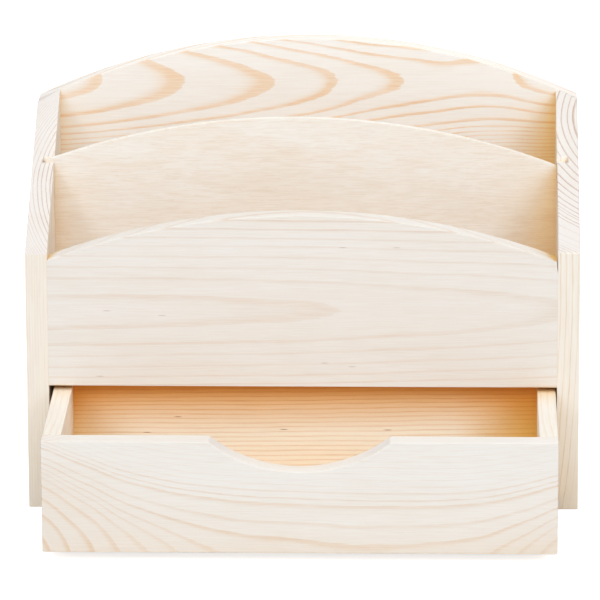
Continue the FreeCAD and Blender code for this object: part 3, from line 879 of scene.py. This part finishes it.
def one_brad(brad):
    """Model a brad with its head at the origin and its point up: shank, flat head, drawn point."""
    look = bpy.context.scene.sorter_fasteners
    head, tip = look.head, POINT_LENGTH * brad.radius
    shank = brad.length - head - tip
    start_fresh()
    bpy.ops.mesh.primitive_cylinder_add(vertices=AROUND, radius=brad.radius, depth=shank,
                                        location=(0, 0, head + shank / 2))
    made = bpy.context.object
    bpy.ops.object.transform_apply(location=True, rotation=True, scale=True)
    bpy.ops.object.mode_set(mode="EDIT")
    select_faces(made, lambda faces: by_height(faces)[-1:])
    bpy.ops.mesh.extrude_region_move(TRANSFORM_OT_translate={"value": (0, 0, tip)})
    bpy.ops.transform.resize(value=(POINT_TIP, POINT_TIP, 1))
    select_faces(made, lambda faces: by_height(faces)[:1])
    bpy.ops.mesh.extrude_region_move()
    bpy.ops.transform.resize(value=(look.head_ratio, look.head_ratio, 1))
    bpy.ops.mesh.extrude_region_move(TRANSFORM_OT_translate={"value": (0, 0, -head)})
    bpy.ops.mesh.bevel(offset=HEAD_ROUND, segments=2, affect="EDGES")
    bpy.ops.object.mode_set(mode="OBJECT")
    bpy.ops.object.shade_smooth_by_angle(angle=SMOOTH)
    return made


def one_dowel(radius, long):
    """Model a dowel along Y, its middle at the origin: chamfer its ends and press flutes into its side."""
    look = bpy.context.scene.sorter_fasteners
    start_fresh()
    bpy.ops.mesh.primitive_cylinder_add(vertices=AROUND, radius=radius, depth=long, location=(0, 0, 0),
                                        rotation=(QUARTER_TURN, 0, 0))
    made = bpy.context.object
    bpy.ops.object.transform_apply(location=True, rotation=True, scale=True)
    bpy.ops.object.mode_set(mode="EDIT")
    select_faces(made, dowel_ends)
    bpy.ops.mesh.bevel(offset=DOWEL_CHAMFER, segments=1, affect="EDGES")
    select_faces(made, every_other_side)
    bpy.ops.mesh.inset(thickness=look.flute / 2, depth=-look.flute, use_individual=True)
    bpy.ops.object.mode_set(mode="OBJECT")
    bpy.ops.object.shade_smooth_by_angle(angle=FLUTE_SMOOTH)
    return made


def row_of(model, places, piece):
    """Copy a fastener to each place, every copy with its own mesh, and join the copies into one piece."""
    row = []
    for place in places:
        copy = bpy.data.objects.new(piece, model.data.copy())
        bpy.context.scene.collection.objects.link(copy)
        copy.matrix_world = place
        row.append(copy)
    pick(*row)
    bpy.ops.object.join()
    bpy.ops.object.transform_apply(location=True, rotation=True, scale=True)
    return bpy.context.object


class SORTER_OT_brads(bpy.types.Operator):
    """Drive the steel brads that hold the back, the front and the drawer"""
    bl_idname = "sorter.brads"
    bl_label = "Brads"

    def execute(self, context):
        steel = bright_steel("bright drawn steel, brads")
        seams = [back_seam(side) for side, _ in SIDES]
        seams += [front_seam(side, sign) for side, sign in SIDES]
        seams += [drawer_seam(side, sign) for side, sign in SIDES]
        seams.append(bottom_seam())
        models = {size: one_brad(size) for size in (LONG_BRAD, SHORT_BRAD)}
        for seam in seams:
            turn = Vector((0, 0, 1)).rotation_difference(Vector(seam.heading)).to_matrix().to_4x4()
            places = [Matrix.Translation(head) @ turn for head in seam.heads]
            made = row_of(models[seam.brad], places, seam.node.replace("brads", "nails"))
            dress(made, steel, seam.node, seam.body)
        for model in models.values():
            bpy.data.objects.remove(model)
        return {"FINISHED"}


class SORTER_OT_dowels(bpy.types.Operator):
    """Glue the fluted beech dowels between the drawer front and its sides"""
    bl_idname = "sorter.dowels"
    bl_label = "Dowels"

    def execute(self, context):
        beech = turned_beech("turned beech, dowels")
        # both sides have the same dowels, at the same heights
        low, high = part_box("drawer_front_dowels_left")
        radius = (high.x - low.x) / 2
        heights = low.z + radius, high.z - radius
        model = one_dowel(radius, high.y - low.y)
        for side, _ in SIDES:
            node = f"drawer_front_dowels_{side}"
            centre = centre_of(node)
            places = [Matrix.Translation((centre.x, centre.y, height)) for height in heights]
            made = row_of(model, places, f"fluted_dowels_{side}")
            dress(made, beech, node, "drawer")
        bpy.data.objects.remove(model)
        return {"FINISHED"}


# Stage -----------------------------------------------------------------------------------------

FLOOR_WIDTH = 6.0    # metres
SENSOR_WIDTH = 36.0  # millimetres
VIEW_END = 20.0      # how far the camera sees, in metres


class Lamp(NamedTuple):
    """A soft box: where it stands, how wide it is and how bright, in metres and watts."""
    name: str
    place: tuple
    width: float
    power: float


LAMPS = (
    Lamp("soft box above", (0.0, -0.6, 2.2), 1.4, 17.0),
    Lamp("soft box in front", (0.12, -3.0, 1.6), 1.4, 24.0),
    Lamp("soft box right", (2.4, -1.9, 2.0), 1.2, 26.5),
    Lamp("soft box left", (-1.8, -2.4, 1.9), 1.1, 23.5),
    Lamp("soft box behind", (0.6, 2.8, 1.6), 1.6, 16.0),
)
AIM = Vector((0.0, 0.0, 0.1))  # where the soft boxes point


def in_view(tree):
    """1 for what the camera sees, straight or by way of metal or glass, and 0 for what lights the part."""
    path = add(tree, "LightPath")
    seen = add(tree, "Math", path.outputs["Is Camera Ray"], path.outputs["Is Glossy Ray"],
               operation="MAXIMUM")
    return add(tree, "Math", seen, path.outputs["Is Transmission Ray"], operation="MAXIMUM")


def make_floor(look):
    """Matt white paper: it lights the part softly from below, looks nearly white and keeps the shadow."""
    bpy.ops.mesh.primitive_plane_add(size=FLOOR_WIDTH, location=(0, 0, 0))
    floor = bpy.context.object
    floor.name = "floor"
    material = bpy.data.materials.new("matt white paper floor")
    material.use_nodes = True
    tree = material.node_tree
    tree.nodes.clear()
    seen = in_view(tree)
    bounce = (look.bounce, look.bounce, look.bounce, 1.0)
    shown = add(tree, "Mix", seen, bounce, tuple(look.floor), data_type="RGBA")
    paper = add(tree, "BsdfDiffuse", shown)
    strength = add(tree, "Math", seen, look.lift, operation="MULTIPLY")
    lit = add(tree, "Emission", WHITE, strength)
    add(tree, "OutputMaterial", add(tree, "AddShader", paper, lit))
    floor.data.materials.append(material)


def make_world(look):
    """Even light from all round, and plain white where the camera sees it."""
    world = bpy.data.worlds.new("white room")
    bpy.context.scene.world = world
    world.use_nodes = True
    tree = world.node_tree
    tree.nodes.clear()
    seen = in_view(tree)
    tint = add(tree, "Mix", seen, tuple(look.air), WHITE, data_type="RGBA")
    strength = add(tree, "MapRange", seen, 0.0, 1.0, look.sky, 1.0)
    add(tree, "OutputWorld", add(tree, "Background", tint, strength))


def make_lamps(look):
    """Large soft boxes round the part, aimed at its middle."""
    for lamp in LAMPS:
        place = Vector(lamp.place)
        turn = (AIM - place).to_track_quat("-Z", "Y").to_euler()
        bpy.ops.object.light_add(type="AREA", location=place, rotation=turn)
        light = bpy.context.object
        light.name = lamp.name
        light.data.size = lamp.width
        light.data.energy = lamp.power
        light.data.color = look.air[:3]


def make_camera(look):
    """The camera, in front of the part and above it."""
    turn = (Matrix.Rotation(look.yaw, 3, "Z") @ Matrix.Rotation(QUARTER_TURN - look.pitch, 3, "X")
            @ Matrix.Rotation(look.roll, 3, "Z")).to_euler()
    bpy.ops.object.camera_add(location=look.place, rotation=turn)
    camera = bpy.context.object
    camera.name = "camera"
    camera.data.sensor_width = SENSOR_WIDTH
    camera.data.lens = look.lens
    camera.data.clip_end = VIEW_END
    bpy.context.scene.camera = camera


class SORTER_OT_stage(bpy.types.Operator):
    """Set up the floor, the soft light and the camera"""
    bl_idname = "sorter.stage"
    bl_label = "Floor, lights and camera"

    def execute(self, context):
        look = context.scene.sorter_stage
        start_fresh()
        make_floor(look)
        make_world(look)
        make_lamps(look)
        make_camera(look)
        context.scene.view_settings.view_transform = "Standard"
        return {"FINISHED"}


# Add-on ----------------------------------------------------------------------------------------

OPERATORS = (SORTER_OT_sides, SORTER_OT_back, SORTER_OT_front, SORTER_OT_sheets, SORTER_OT_drawer_front,
             SORTER_OT_drawer_box, SORTER_OT_brads, SORTER_OT_dowels, SORTER_OT_stage)
GROUPS = {"sorter_edges": SorterEdges, "sorter_pine": SorterPine, "sorter_plywood": SorterPlywood,
          "sorter_fasteners": SorterFasteners, "sorter_stage": SorterStage}


class SORTER_PT_panel(bpy.types.Panel):
    """Lists the sorter's sizes, colours and operators"""
    bl_label = "Envelope sorter"
    bl_idname = "SORTER_PT_panel"
    bl_space_type = "VIEW_3D"
    bl_region_type = "UI"
    bl_category = "Sorter"

    def draw(self, context):
        for name in GROUPS:
            group = getattr(context.scene, name)
            box = self.layout.box()
            for field in group.__annotations__:
                box.prop(group, field)
        for operator in OPERATORS:
            self.layout.operator(operator.bl_idname)


def register():
    """Register the settings, the operators and the panel."""
    for made in (*GROUPS.values(), *OPERATORS, SORTER_PT_panel):
        bpy.utils.register_class(made)
    for name, group in GROUPS.items():
        setattr(bpy.types.Scene, name, PointerProperty(type=group))


def unregister():
    """Take the panel, the operators and the settings away again."""
    for name in GROUPS:
        delattr(bpy.types.Scene, name)
    for made in (SORTER_PT_panel, *reversed(OPERATORS), *GROUPS.values()):
        bpy.utils.unregister_class(made)


def main():
    """Register the add-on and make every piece."""
    register()
    bpy.ops.sorter.sides()
    bpy.ops.sorter.back()
    bpy.ops.sorter.front()
    bpy.ops.sorter.sheets()
    bpy.ops.sorter.drawer_front()
    bpy.ops.sorter.drawer_box()
    bpy.ops.sorter.brads()
    bpy.ops.sorter.dowels()
    bpy.ops.sorter.stage()


if __name__ == "__main__":
    main()
